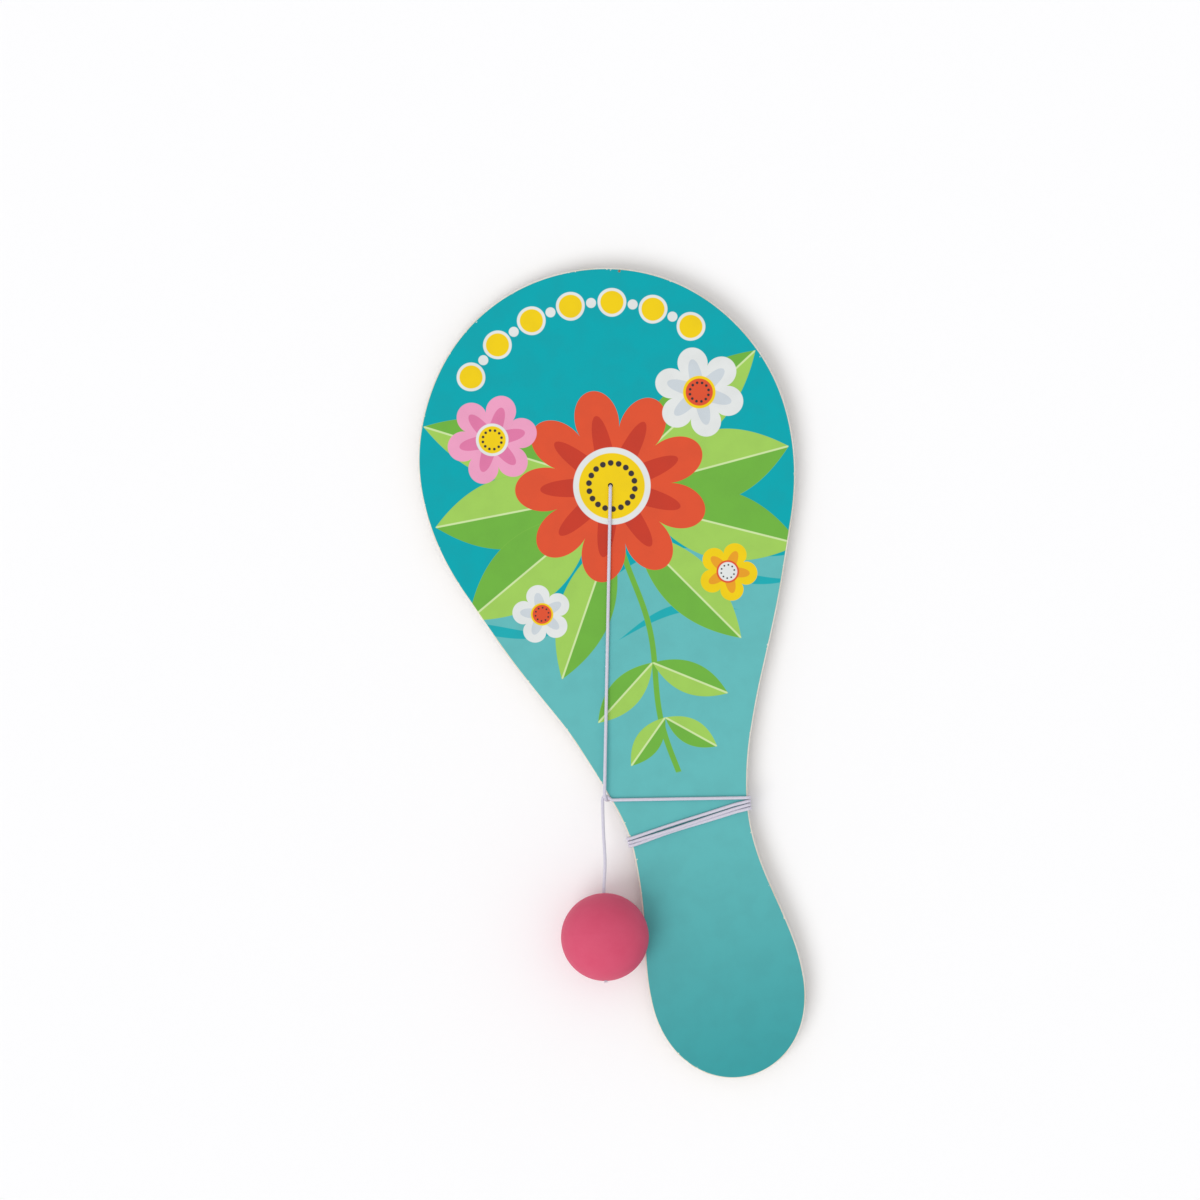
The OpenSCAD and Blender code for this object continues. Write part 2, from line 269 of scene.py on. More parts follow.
def edge_turn(side, y, drop=0.0):
    """A turn round one edge of the neck from back to front: a quarter arc, a step up and a quarter arc.

    Behind the board it starts further out by the drop.
    """
    x = neck_edge(side, y) - EDGE_R
    low, high = QUARTER_ARC[::-1], QUARTER_ARC
    back = np.stack([side * (x + WRAP_R * np.cos(low)), np.full(low.shape, y),
                     BACK_Z + EDGE_R - (WRAP_R + drop) * np.sin(low)], axis=1)
    front = np.stack([side * (x + WRAP_R * np.cos(high)), np.full(high.shape, y),
                      FACE_Z - EDGE_R + WRAP_R * np.sin(high)], axis=1)
    return np.concatenate([back, front])


# An overhand knot about Z: three lobes, opened so that one end rises on the axis
KNOT_MID_R = 1.25 * CORD_D
KNOT_LOBE = 0.58 * CORD_D
KNOT_RISE = 0.67 * CORD_D
KNOT_OPEN = math.radians(27)
KNOT_NECK_Z = KNOT_RISE + 1.9 * CORD_R
KNOT_END_Z = KNOT_NECK_Z + CORD_D
KNOT_HALF = KNOT_RISE + CORD_R
KNOT_BEND = np.array([0.12 * KNOT_MID_R, 0.06 * KNOT_MID_R, KNOT_RISE + 0.5 * CORD_R])
KNOT_NECK = np.array([[0, 0, KNOT_END_Z], [0, 0, KNOT_NECK_Z], KNOT_BEND])
SIDE_TAIL = np.array([
    [KNOT_MID_R + 0.9 * CORD_D, -0.9 * CORD_D, -KNOT_RISE],
    [KNOT_MID_R + 2.2 * CORD_D, -0.7 * CORD_D, -KNOT_RISE],
    [KNOT_MID_R + 3.6 * CORD_D, -0.9 * CORD_D, -KNOT_RISE],
])
AXIS_TAIL = np.array([
    [KNOT_BEND[0], -KNOT_BEND[1], -KNOT_BEND[2]],
    [0, 0, -KNOT_NECK_Z],
    [0, 0, TAIL_RECESS - KNOT_DEPTH],
])


def knot_loops():
    """The knot's loops: at the angle 2a the radius is mid + lobe cos 3a, and the height is rise sin 3a."""
    a = np.linspace(KNOT_OPEN, TURN - KNOT_OPEN, KNOT_POINTS)
    r = KNOT_MID_R + KNOT_LOBE * np.cos(3 * a)
    return np.stack([r * np.cos(2 * a), r * np.sin(2 * a), KNOT_RISE * np.sin(3 * a)], axis=1)


def facing(points, middle, way):
    """Points turned so that their Z looks along a direction, by a tilt and then a swing, and moved."""
    tilt, swing = math.acos(way[2]), math.atan2(way[1], way[0])
    ct, st, cs, ss = math.cos(tilt), math.sin(tilt), math.cos(swing), math.sin(swing)
    turn = np.array([[cs * ct, -ss, cs * st], [ss * ct, cs, ss * st], [-st, 0, ct]])
    return points @ turn.T + middle


def along_drop(s):
    """Points of the hanging cord's straight line, at distances from the hitch."""
    return SWING_AT + np.multiply.outer(s, DROP_WAY)


DROP_LEN = np.linalg.norm(BALL_MID - SWING_AT) - BALL_R
KNOT_AT = DROP_LEN + 2 * BALL_R - KNOT_DEPTH
HITCH_Y = NECK_Y + HITCH_UP
HITCH_X = -(neck_edge(-1, HITCH_Y) + HITCH_OUT)


def winding_points():
    """The run's dive round the left edge, the turns round the neck, the crossing behind and the hitch."""
    run_end = np.array([HITCH_X, HITCH_Y, OVER_Z])
    left_back = edge_turn(-1, NECK_Y + DIVE_UP)[:len(QUARTER_ARC)][::-1]
    rows = [[run_end], run_end + DIVE, left_back]
    across = np.linspace(0, 1, STRAND_POINTS)[1:-1]
    hump, tuck = leaning_hump(across), (1 - across) * smooth(across / TUCK_REACH)
    for turn in range(len(LEFT_UPS) - 1, -1, -1):
        further_out = CROSS_LAYER if turn == 0 else 0
        right = edge_turn(1, NECK_Y + RIGHT_UPS[turn])
        left = edge_turn(-1, NECK_Y + LEFT_UPS[turn], further_out)[::-1]
        strand = right[-1] + across[:, None] * (left[0] - right[-1])
        strand[:, 1] += STRAND_TUCKS[turn] * tuck + STRAND_BOWS[turn] * hump
        strand[:, 2] += STRAND_LIFTS[turn] * hump
        rows += [right, strand, left]
    rows.append(edge_turn(1, NECK_Y + RIGHT_UPS[-1], CROSS_LAYER))
    rows.append(np.column_stack([HITCH + [HITCH_X, HITCH_Y], np.full(len(HITCH), FRONT_Z)]))
    return np.concatenate(rows)


def run_points():
    """Up through the hole against its lower side, a quarter turn over the rim, and down to the hitch.

    The run lies on the print for more than half its length, and then eases up to pass over the hitch.
    """
    way = unit(np.array([HITCH_X, HITCH_Y]) - HOLE)
    leaning = HOLE + (HOLE_R - CORD_R) * way
    total = np.linalg.norm(np.array([HITCH_X, HITCH_Y]) - leaning)
    out, up = RIM_BEND * (1 - np.cos(QUARTER_ARC)), RIM_BEND * (np.sin(QUARTER_ARC) - 1)
    far = np.linspace(RIM_BEND, total, RUN_POINTS)[1:-1]
    lift = (OVER_Z - FRONT_Z) * smooth((far / total - RUN_LIES) / (1 - RUN_LIES))
    far, lift = np.concatenate([out, far]), np.concatenate([up, lift])
    return np.column_stack([leaning + far[:, None] * way, FRONT_Z + lift])


def drop_points():
    """The free length down to the ball, bowed a little towards the paddle, and straight into the bore."""
    t = np.linspace(0, 1, DROP_POINTS)
    bow = DROP_START * (1 - smooth(t)) + DROP_BOW * leaning_hump(t)
    across = unit(np.cross([0, 0, 1], DROP_WAY))
    return along_drop(t * DROP_LEN) + bow[:, None] * across


def whole_route():
    """The cord's centre line from end to end, before its corners are rounded."""
    back_knot = np.concatenate([KNOT_NECK, knot_loops(), SIDE_TAIL])[::-1]
    back_knot = back_knot + [*HOLE, KNOT_HALF - STAND_FLAT]
    ball_knot = np.concatenate([KNOT_NECK, knot_loops(), AXIS_TAIL])
    return np.concatenate([
        back_knot, run_points(), winding_points(), drop_points(),
        facing(ball_knot, along_drop(KNOT_AT), -DROP_WAY),
    ])


ROUTE = spaced(softened(whole_route(), ROUTE_STEP, CORNER_WIDTH), RING_STEP)
FAR = lengths_along(ROUTE)


# The cord's lengths and its loose yarns

def carried(vector, heading):
    """A side vector carried on to the next heading: its part along the heading is taken off."""
    return unit(vector - (vector @ heading) * heading)


def route_frames():
    """Two side vectors for each point of the route, carried along it without twist."""
    headings = unit(np.gradient(ROUTE, axis=0))
    start = carried(np.array([0.0, 0.0, 1.0]), headings[0])
    side = np.array(list(accumulate(headings[1:], carried, initial=start)))
    return side, np.cross(headings, side)


SIDE, UP = route_frames()


def cord_rings(first, last):
    """Rings of the braided cord between two places on the route.

    The radius dips by half a product of two cosines, one for the strands that wind each way, so that the
    crossings stand up in a diamond pattern. Nothing goes below the table.
    """
    picked = slice(first, last + 1)
    around = np.linspace(0, TURN, CORD_SIDES, endpoint=False)[None, :]
    wind = TURN * FAR[picked, None] / BRAID_PITCH * BRAID_STRANDS
    bump = np.cos(BRAID_STRANDS * around + wind) * np.cos(BRAID_STRANDS * around - wind)
    radius = (CORD_R - BRAID_DEPTH * (0.5 - 0.5 * bump))[..., None]
    points = ROUTE[picked, None] + radius * (
        np.cos(around)[..., None] * SIDE[picked, None] + np.sin(around)[..., None] * UP[picked, None])
    points[..., 2] = np.maximum(points[..., 2], 0)
    return points


def cord_piece(name, first, last, material):
    """One length of the cord as a tube with closed ends; U is the distance along it, V goes once round."""
    rings = cord_rings(first, last)
    count = len(rings)
    quads = grid_faces(count, CORD_SIDES)
    caps = [range(CORD_SIDES - 1, -1, -1), range((count - 1) * CORD_SIDES, count * CORD_SIDES)]
    uv = cell_uv(FAR[first:last + 1] / BRAID_PITCH, np.linspace(0, 1, CORD_SIDES + 1))
    return make_piece(name, rings, quads, material, uv, caps)


# The loose yarns at a cut end: how many with what grid, their least and greatest length, and their radius
FRAY_SEED = 7
FRAY_YARNS, FRAY_RINGS, FRAY_SIDES = 26, 6, 5
FRAY_LONG = np.array([0.35, 1.1]) * MM
FRAY_R = 0.07 * MM
# Shares: the cord's radius that they start on, a yarn's part inside the cord, and its radius at the tip
FRAY_DISC, FRAY_ROOT, FRAY_TIP = 0.85, 0.2, 0.45
# The spread of their directions in radians, least and greatest curl in 1/m, and the reach of their U and V
FRAY_SPREAD = 0.7
FRAY_CURL = (60, 420)
FRAY_UV = (0.1, 0.2)


def fray_piece(name, end, heading, side, material):
    """Loose yarns at a cut end of the cord: thin tapering tubes that start across it and curl out.

    At a distance s along a yarn its middle is start + s heading + s^2 curl, where the start is drawn evenly
    over a disc and the curl points away from the cord's middle, give or take a random turn.
    """
    rng = np.random.default_rng(FRAY_SEED)
    r, a = CORD_R * FRAY_DISC * np.sqrt(rng.random(FRAY_YARNS)), TURN * rng.random(FRAY_YARNS)
    long, lean = rng.uniform(*FRAY_LONG, FRAY_YARNS), a + rng.normal(0, FRAY_SPREAD, FRAY_YARNS)
    curl = rng.uniform(*FRAY_CURL, FRAY_YARNS)
    over = np.cross(heading, side)
    s = np.linspace(-FRAY_ROOT, 1, FRAY_RINGS) * long[:, None]
    out_side = (r * np.cos(a))[:, None] + (curl * np.cos(lean))[:, None] * s * abs(s)
    out_over = (r * np.sin(a))[:, None] + (curl * np.sin(lean))[:, None] * s * abs(s)
    middle = end + s[..., None] * heading + out_side[..., None] * side + out_over[..., None] * over
    around = np.linspace(0, TURN, FRAY_SIDES, endpoint=False)
    ring = np.cos(around)[:, None] * side + np.sin(around)[:, None] * over
    thin = FRAY_R * np.linspace(1, FRAY_TIP, FRAY_RINGS)
    points = middle[:, :, None, :] + thin[None, :, None, None] * ring
    points[..., 2] = np.maximum(points[..., 2], 0)
    first = np.arange(FRAY_YARNS) * FRAY_RINGS * FRAY_SIDES
    quads = (first[:, None, None] + grid_faces(FRAY_RINGS, FRAY_SIDES)).reshape(-1, 4)
    last_ring = (FRAY_RINGS - 1) * FRAY_SIDES
    caps = [range(f + FRAY_SIDES - 1, f - 1, -1) for f in first.tolist()]
    caps += [range(f + last_ring, f + last_ring + FRAY_SIDES) for f in first.tolist()]
    one_yarn = cell_uv(np.linspace(0, FRAY_UV[0], FRAY_RINGS), np.linspace(0, FRAY_UV[1], FRAY_SIDES + 1))
    return make_piece(name, points, quads, material, np.tile(one_yarn, (FRAY_YARNS, 1)), caps)


# Materials: a small language for shader nodes

def tone(red, green, blue):
    """A colour as it looks on a screen, 0 to 255, as the linear colour that a shader takes."""
    values = np.array([red, green, blue]) / 255
    linear = np.where(values <= 0.04045, values / 12.92, ((values + 0.055) / 1.055) ** 2.4)
    return (*linear.tolist(), 1.0)


class Val:
    """One output of a material's nodes. Arithmetic on it adds Math nodes and gives a new one."""

    def __init__(self, paint, socket):
        self.paint, self.socket = paint, socket

    def maths(self, operation, *rest):
        """A Math node with this value first."""
        return self.paint.node("ShaderNodeMath", {"operation": operation}, [self, *rest])

    def also(self, name):
        """Another output of the same node."""
        return Val(self.paint, self.socket.node.outputs[name])

    def __add__(self, other):
        return self.maths("ADD", other)

    def __sub__(self, other):
        return self.maths("SUBTRACT", other)

    def __rsub__(self, other):
        return self.paint.node("ShaderNodeMath", {"operation": "SUBTRACT"}, [other, self])

    def __mul__(self, other):
        return self.maths("MULTIPLY", other)

    def __truediv__(self, other):
        return self.maths("DIVIDE", other)

    def __pow__(self, power):
        return self.maths("POWER", power)

    def __abs__(self):
        return self.maths("ABSOLUTE")

    __radd__, __rmul__ = __add__, __mul__


class Paint:
    """A node tree in the making, of a material or of the world."""

    def __init__(self, owner):
        owner.use_nodes = True
        self.owner, self.tree = owner, owner.node_tree
        self.tree.nodes.clear()

    def node(self, kind, settings=None, inputs=(), out=0):
        """Adds a node: its settings first, then a value or link for each socket. Gives one output."""
        made = self.tree.nodes.new(kind)
        for name, value in (settings or {}).items():
            setattr(made, name, value)
        for key, value in inputs.items() if isinstance(inputs, dict) else enumerate(inputs):
            if isinstance(value, Val):
                self.tree.links.new(value.socket, made.inputs[key])
            else:
                made.inputs[key].default_value = value
        return Val(self, made.outputs[out]) if made.outputs else None

    def mix(self, share, a, b):
        """Colour a where the share is 0 and colour b where it is 1."""
        return self.node("ShaderNodeMix", {"data_type": "RGBA"}, {0: share, 6: a, 7: b}, out=2)

    def inside(self, distance, soft):
        """1 where a signed distance is below zero and 0 where it is above, with a soft step between."""
        return self.eased(distance, soft, -soft)

    def eased(self, value, low, high):
        """0 at low and 1 at high, held outside, with a soft step between; high may be the lesser one."""
        return self.node("ShaderNodeMapRange", {"interpolation_type": "SMOOTHSTEP"},
                         {"Value": value, "From Min": low, "From Max": high})

    def noise(self, place, stretch, detail=2.0, rough=0.5):
        """Noise from 0 to 1, with the place multiplied by a stretch along each axis."""
        scaled = self.node("ShaderNodeVectorMath", {"operation": "MULTIPLY"}, [place, stretch])
        return self.node("ShaderNodeTexNoise", {},
                         {"Vector": scaled, "Scale": 1.0, "Detail": detail, "Roughness": rough})

    def place(self):
        """Object coordinates, which are the frame's own, in metres."""
        return self.node("ShaderNodeTexCoord", out="Object")

    def surface_uv(self):
        """The piece's own UV map, as two values."""
        u, v, _ = self.parts(self.node("ShaderNodeUVMap", {"uv_map": "surface"}))
        return u, v

    def parts(self, vector):
        """The X, Y and Z of a vector."""
        x = self.node("ShaderNodeSeparateXYZ", {}, [vector])
        return x, x.also("Y"), x.also("Z")

    def bump(self, height, distance, strength):
        """A normal that leans as a relief of this height would."""
        values = {"Height": height, "Distance": distance, "Strength": strength}
        return self.node("ShaderNodeBump", {}, values)

    def surface(self, **sockets):
        """Ends the material in a Principled shader; a socket's name is written with _ for its spaces."""
        values = {name.replace("_", " "): value for name, value in sockets.items()}
        shader = self.node("ShaderNodeBsdfPrincipled", {}, values)
        self.node("ShaderNodeOutputMaterial", {}, {"Surface": shader})
        return self.owner


def hypot(dx, dy):
    """The length of a flat vector of two values."""
    return (dx * dx + dy * dy) ** 0.5


# The artwork's colours
TEAL, PALE_TEAL, BRIGHT_TEAL = tone(2, 165, 175), tone(100, 185, 186), tone(30, 170, 178)
GRIP_TEAL = tone(46, 151, 156)
YELLOW, RED, WHITE = tone(240, 206, 22), tone(222, 84, 52), tone(226, 229, 228)
DEEP_RED, DEEP_YELLOW, SILVER = tone(198, 62, 44), tone(232, 160, 40), tone(203, 211, 217)
LEAF, LIGHT_LEAF, RIB = tone(112, 178, 66), tone(160, 205, 92), tone(206, 228, 166)
PINK, ROSE, DARK = tone(236, 160, 194), tone(222, 122, 166), tone(58, 52, 55)

# The artwork's motifs; places and sizes are in millimetres, first the softness of the ink's edges
INK_EDGE, RIB_EDGE, FIELD_EDGE, STEM_EDGE = 0.12, 0.1, 0.15, 0.3
# The wave between the two fields, and its ripples: depth below it, thickness and shift
WAVE_Y, WAVE_HIGH, WAVE_LONG, WAVE_SHIFT = 33, 5, 78, 0.6
RIPPLES = [(8, 1.8, -0.9), (19, 1.4, 0.7)]
# The lower field darkens towards the grip's end, between these heights
FADE_FROM, FADE_TO = -30, -165
# The arc of discs along the top of the head: its middle's height, radius, step, and discs to each side
ARC_Y, ARC_R, ARC_STEP, ARC_DISCS = 70, 51, math.radians(15), 3
# Its small dots and its discs: their shift in steps, the last one's number, and the radius of each ink
ARC_ROWS = [
    (0.5, ARC_DISCS - 0.5, [(1.6, WHITE)]),
    (0, ARC_DISCS, [(4.6, WHITE), (3.7, YELLOW)]),
]
# The stem: its sway and the length of one wave, half its width, its middle's height and half its length
STEM_SWAY, STEM_WAVE, STEM_HALF, STEM_Y, STEM_REACH = 1.5, 60, 0.9, 6, 38
# Leaves: base x and y, length, half width, direction in degrees, colour and half colour
LEAVES = [
    (-6, 66, 56, 9.5, 150, LIGHT_LEAF, LEAF), (6, 66, 56, 9.5, 30, LEAF, LIGHT_LEAF),
    (-8, 60, 50, 11.5, 178, LEAF, LIGHT_LEAF), (8, 60, 50, 11.5, 2, LIGHT_LEAF, LEAF),
    (-8, 54, 52, 11.0, 207, LIGHT_LEAF, LEAF), (8, 54, 52, 11.0, -27, LEAF, LIGHT_LEAF),
    (-4, 46, 48, 8.5, 238, LEAF, LIGHT_LEAF), (4, 46, 48, 8.5, -58, LIGHT_LEAF, LEAF),
    (0, 4, 26, 5.0, 215, LIGHT_LEAF, LEAF), (0, 4, 26, 5.0, -35, LEAF, LIGHT_LEAF),
    (0, -14, 19, 4.0, 222, LEAF, LIGHT_LEAF), (0, -14, 19, 4.0, -42, LIGHT_LEAF, LEAF),
]
RIB_HALF = 0.3
# Flowers: x and y, radius, petals, turn in degrees, the colours of the petals, their hearts, the ring and
# the eye, and the eye's share of the radius
FLOWERS = [
    (0, 62, 31, 9, 10, RED, DEEP_RED, WHITE, YELLOW, 0.34),
    (-34, 85, 14.5, 6, 0, PINK, ROSE, WHITE, YELLOW, 0.30),
    (34, 85, 14.5, 6, 30, WHITE, SILVER, YELLOW, RED, 0.30),
    (-31, 27, 9.5, 5, 18, WHITE, SILVER, YELLOW, RED, 0.32),
    (30, 27, 9.5, 5, 54, YELLOW, DEEP_YELLOW, RED, WHITE, 0.32),
]
# Shares of a flower's radius: where petals and hearts start, how far both reach, the ring and a seed
PETAL_START, HEART_START, PETAL_REACH, EYE_RING, SEED_R = 0.6, 0.34, 0.4, 0.06, 0.03
# The powers of the cosine that round petals and hearts, and the seeds' circle as a share of the eye
PETAL_ROUND, HEART_ROUND, SEED_RING = 0.6, 2.5, 0.7
# The worn edge's nicks, the one chip at the top of the head, and how much the ink's cloud darkens
NICK_DEEP = 0.7
CHIP_X, CHIP_Y, CHIP_R = 17.7, 128.5, 0.9
CLOUD_SHARE = 0.05

# Grains of the finishes: cells of noise in a metre along X, Y and Z
INK_CLOUD = (140.0, 140.0, 140.0)
EDGE_NICKS = (900.0, 900.0, 900.0)
PAPER_FIBRE = (4000.0, 900.0, 4000.0)
WOOD_FIBRE = (2600.0, 60.0, 2600.0)
WOOD_DRIFT = (15.0, 1.7, 15.0)
WOOD_PORES = (3500.0, 240.0, 3500.0)
CORE_SPECKS = (1500.0, 1500.0, 3000.0)
RUBBER_BLOOM = (180.0, 180.0, 180.0)
RUBBER_GRIT = (3000.0, 3000.0, 3000.0)
FLOOR_GRAIN = (40.0, 40.0, 40.0)

# Tones of the plain finishes
BARE_EDGE, CHIPPED = tone(232, 226, 214), tone(146, 104, 70)
WOOD_PALE, WOOD_BAND, WOOD_LINE = tone(240, 233, 222), tone(232, 222, 206), tone(214, 194, 164)
WOOD_PORE, WOOD_CORE, WOOD_GLUE = tone(184, 156, 120), tone(214, 193, 163), tone(168, 138, 104)
# The cord's three tones are painted light and shade: a shaded tone where the braid sinks, a lit tone where
# its crossings stand up, and a darker tone painted as shade in the seams
CORD_SINK_SHADE, CORD_CROSSING_LIGHT, CORD_SEAM_SHADE = tone(196, 192, 211), tone(233, 230, 241), tone(150, 146, 170)
RUBBER, RUBBER_PALE = tone(205, 70, 102), tone(211, 84, 114)
FLOOR, FLOOR_SHADE = tone(252, 252, 253), tone(246, 246, 248)

# The plywood: half its middle ply and half a glue line in millimetres, and the turn of its rings in radians
CORE_HALF, GLUE_HALF, RINGS_TURN = 0.75, 0.05, 150.0
# How strongly its lines, pores and glue show
LINE_SHARE, PORE_SHARE, GLUE_SHARE = 0.35, 0.45, 0.6
# The fine yarns in each strand of the braid, how quickly one set gives way to the other, and how strongly
# painted shade darkens their seams
YARNS, YARN_EDGE, SEAM_SHADE_SHARE = 4.0, 0.2, 0.18
# How strongly the floor's unevenness shows
FLOOR_SHARE = 0.1


def leaf(paint, x, y, base_x, base_y, length, width, turn):
    """A leaf between two arcs: its half width is 4 w t (1 - t) at a share t of its length.

    Gives its mask, the mask of its half on one side, and of its midrib.
    """
    c, s = math.cos(math.radians(turn)), math.sin(math.radians(turn))
    dx, dy = x - base_x, y - base_y
    along, across = (dx * c + dy * s) / length, dy * c - dx * s
    mask = paint.inside(abs(across) - 4 * width * along * (1 - along), INK_EDGE)
    one_side = paint.inside(across, INK_EDGE)
    rib = paint.inside(abs(across) - RIB_HALF, RIB_EDGE)
    return mask, mask * one_side, mask * rib


def flower(paint, x, y, mid_x, mid_y, radius, petals, turn):
    """A flower whose rim goes in and out with a power of the cosine of its petals' angle.

    Gives its mask, the mask of its petals' hearts, and the distance from its middle.
    """
    dx, dy = x - mid_x, y - mid_y
    r = hypot(dx, dy)
    wave = abs(((dy.maths("ARCTAN2", dx) - math.radians(turn)) * (petals / 2)).maths("COSINE"))
    mask = paint.inside(r - radius * (PETAL_START + PETAL_REACH * wave ** PETAL_ROUND), INK_EDGE)
    heart = paint.inside(r - radius * (HEART_START + PETAL_REACH * wave ** HEART_ROUND), INK_EDGE)
    return mask, heart, r


def ring_of_dots(paint, x, y, mid_x, mid_y, radius, count, size):
    """Small dots evenly round a circle: the distance to the nearest one, in polar cells."""
    dx, dy = x - mid_x, y - mid_y
    step = TURN / count
    angle = dy.maths("ARCTAN2", dx) / step
    off = (angle - angle.maths("ROUND")) * (step * radius)
    return paint.inside(hypot(off, hypot(dx, dy) - radius) - size, INK_EDGE)


def teal_fields(paint, x, y):
    """A deep field above a pale one that darkens towards the grip, parted by a sine, and two ripples."""
    wave = x * (TURN / WAVE_LONG)
    low = y - (WAVE_Y + WAVE_HIGH * (wave + WAVE_SHIFT).maths("SINE"))
    pale = paint.mix(paint.eased(y, FADE_FROM, FADE_TO), PALE_TEAL, GRIP_TEAL)
    colour = paint.mix(paint.inside(low, FIELD_EDGE), TEAL, pale)
    for depth, thick, shift in RIPPLES:
        ripple = paint.inside(abs(low + depth) - thick * (wave + shift).maths("SINE"), FIELD_EDGE)
        colour = paint.mix(ripple, colour, BRIGHT_TEAL)
    return colour


def arc_of_discs(paint, x, y, colour):
    """Discs along the top of the head, dots between them: the distance to the nearest, in polar cells."""
    dx, dy = x, y - ARC_Y
    ring, angle = hypot(dx, dy) - ARC_R, dx.maths("ARCTAN2", dy) / ARC_STEP
    for shift, last, discs in ARC_ROWS:
        cell = (angle + shift).maths("ROUND") - shift
        shown = abs(cell).maths("LESS_THAN", last + 0.5)
        from_mid = hypot((angle - cell) * (ARC_STEP * ARC_R), ring)
        for radius, ink in discs:
            colour = paint.mix(shown * paint.inside(from_mid - radius, INK_EDGE), colour, ink)
    return colour


def stem_and_leaves(paint, x, y, colour):
    """A stem that sways by a sine, and the leaves over it, each with a half in another green and a rib."""
    sway = STEM_SWAY * (y * (TURN / STEM_WAVE)).maths("SINE")
    stem = paint.inside(abs(x - sway) - STEM_HALF, INK_EDGE)
    stem = stem * paint.inside(abs(y - STEM_Y) - STEM_REACH, STEM_EDGE)
    colour = paint.mix(stem, colour, LEAF)
    for *shape, main, half in LEAVES:
        for mask, ink in zip(leaf(paint, x, y, *shape), (main, half, RIB)):
            colour = paint.mix(mask, colour, ink)
    return colour


def flowers(paint, x, y, colour):
    """The flowers: petals, their hearts, the eye in its ring, and a circle of seeds in the eye."""
    for mid_x, mid_y, radius, petals, turn, petal, deep, rim, eye, share in FLOWERS:
        mask, heart, r = flower(paint, x, y, mid_x, mid_y, radius, petals, turn)
        ring = paint.inside(r - radius * (share + EYE_RING), INK_EDGE)
        middle = paint.inside(r - radius * share, INK_EDGE)
        circle, size = radius * share * SEED_RING, radius * SEED_R
        seeds = ring_of_dots(paint, x, y, mid_x, mid_y, circle, 2 * petals, size)
        for part, ink in ((mask, petal), (heart, deep), (ring, rim), (middle, eye), (seeds, DARK)):
            colour = paint.mix(part, colour, ink)
    return colour


def printed_sheet():
    """The print: flat motifs over two fields of teal, with uneven ink, a worn edge and one chip."""
    paint = Paint(bpy.data.materials.new("printed_sheet"))
    place = paint.place()
    px, py, _ = paint.parts(place)
    x, y = px / MM, py / MM
    inwards, _ = paint.surface_uv()
    colour = teal_fields(paint, x, y)
    for motif in (arc_of_discs, stem_and_leaves, flowers):
        colour = motif(paint, x, y, colour)
    cloud = paint.noise(place, INK_CLOUD, detail=3.0)
    colour = paint.mix(CLOUD_SHARE * paint.eased(cloud, low=0.35, high=0.7), colour, DARK)
    nick = paint.noise(place, EDGE_NICKS)
    worn_to = PRINT_INSET / MM + NICK_DEEP * paint.eased(nick, low=0.62, high=0.85)
    worn = paint.inside(inwards - worn_to, INK_EDGE)
    colour = paint.mix(worn, colour, BARE_EDGE)
    chip = paint.inside(hypot(x - CHIP_X, y - CHIP_Y) - CHIP_R * nick, FIELD_EDGE)
    colour = paint.mix(chip, colour, CHIPPED)
    relief = paint.bump(paint.noise(place, PAPER_FIBRE) - worn, distance=0.02 * MM, strength=0.25)
    return paint.surface(Base_Color=colour, Roughness=0.4 + 0.15 * cloud, Normal=relief,
                         Specular_IOR_Level=0.1)


def pale_wood():
    """Pale plywood: fibres along Y, soft arches of growth rings, pores, and three plies on the edges."""
    paint = Paint(bpy.data.materials.new("board_wood"))
    place = paint.place()
    _, _, pz = paint.parts(place)
    fibre = paint.noise(place, WOOD_FIBRE, detail=4.0, rough=0.6)
    drift = paint.noise(place, WOOD_DRIFT, detail=3.0, rough=0.42)
    band = (RINGS_TURN * drift).maths("SINE")
    colour = paint.mix(paint.eased(band, low=0.1, high=1.0), WOOD_PALE, WOOD_BAND)
    colour = paint.mix(LINE_SHARE * paint.eased(fibre, low=0.45, high=0.75), colour, WOOD_LINE)
    pore = paint.noise(place, WOOD_PORES, detail=1.0)
    colour = paint.mix(PORE_SHARE * paint.eased(pore, low=0.68, high=0.76), colour, WOOD_PORE)
    from_mid = abs(pz - (BACK_Z + BOARD_TOP) / 2) / MM
    core = paint.inside(from_mid - CORE_HALF, soft=0.03)
    speck = paint.noise(place, CORE_SPECKS)
    colour = paint.mix(core * paint.eased(speck, low=0.3, high=0.7), colour, WOOD_CORE)
    glue = paint.inside(abs(from_mid - CORE_HALF) - GLUE_HALF, soft=0.04)
    colour = paint.mix(GLUE_SHARE * glue, colour, WOOD_GLUE)
    relief = paint.bump(fibre + 0.5 * pore + 0.4 * core * speck, distance=0.05 * MM, strength=0.4)
    return paint.surface(Base_Color=colour, Roughness=0.6 + 0.2 * fibre, Normal=relief,
                         Specular_IOR_Level=0.25)


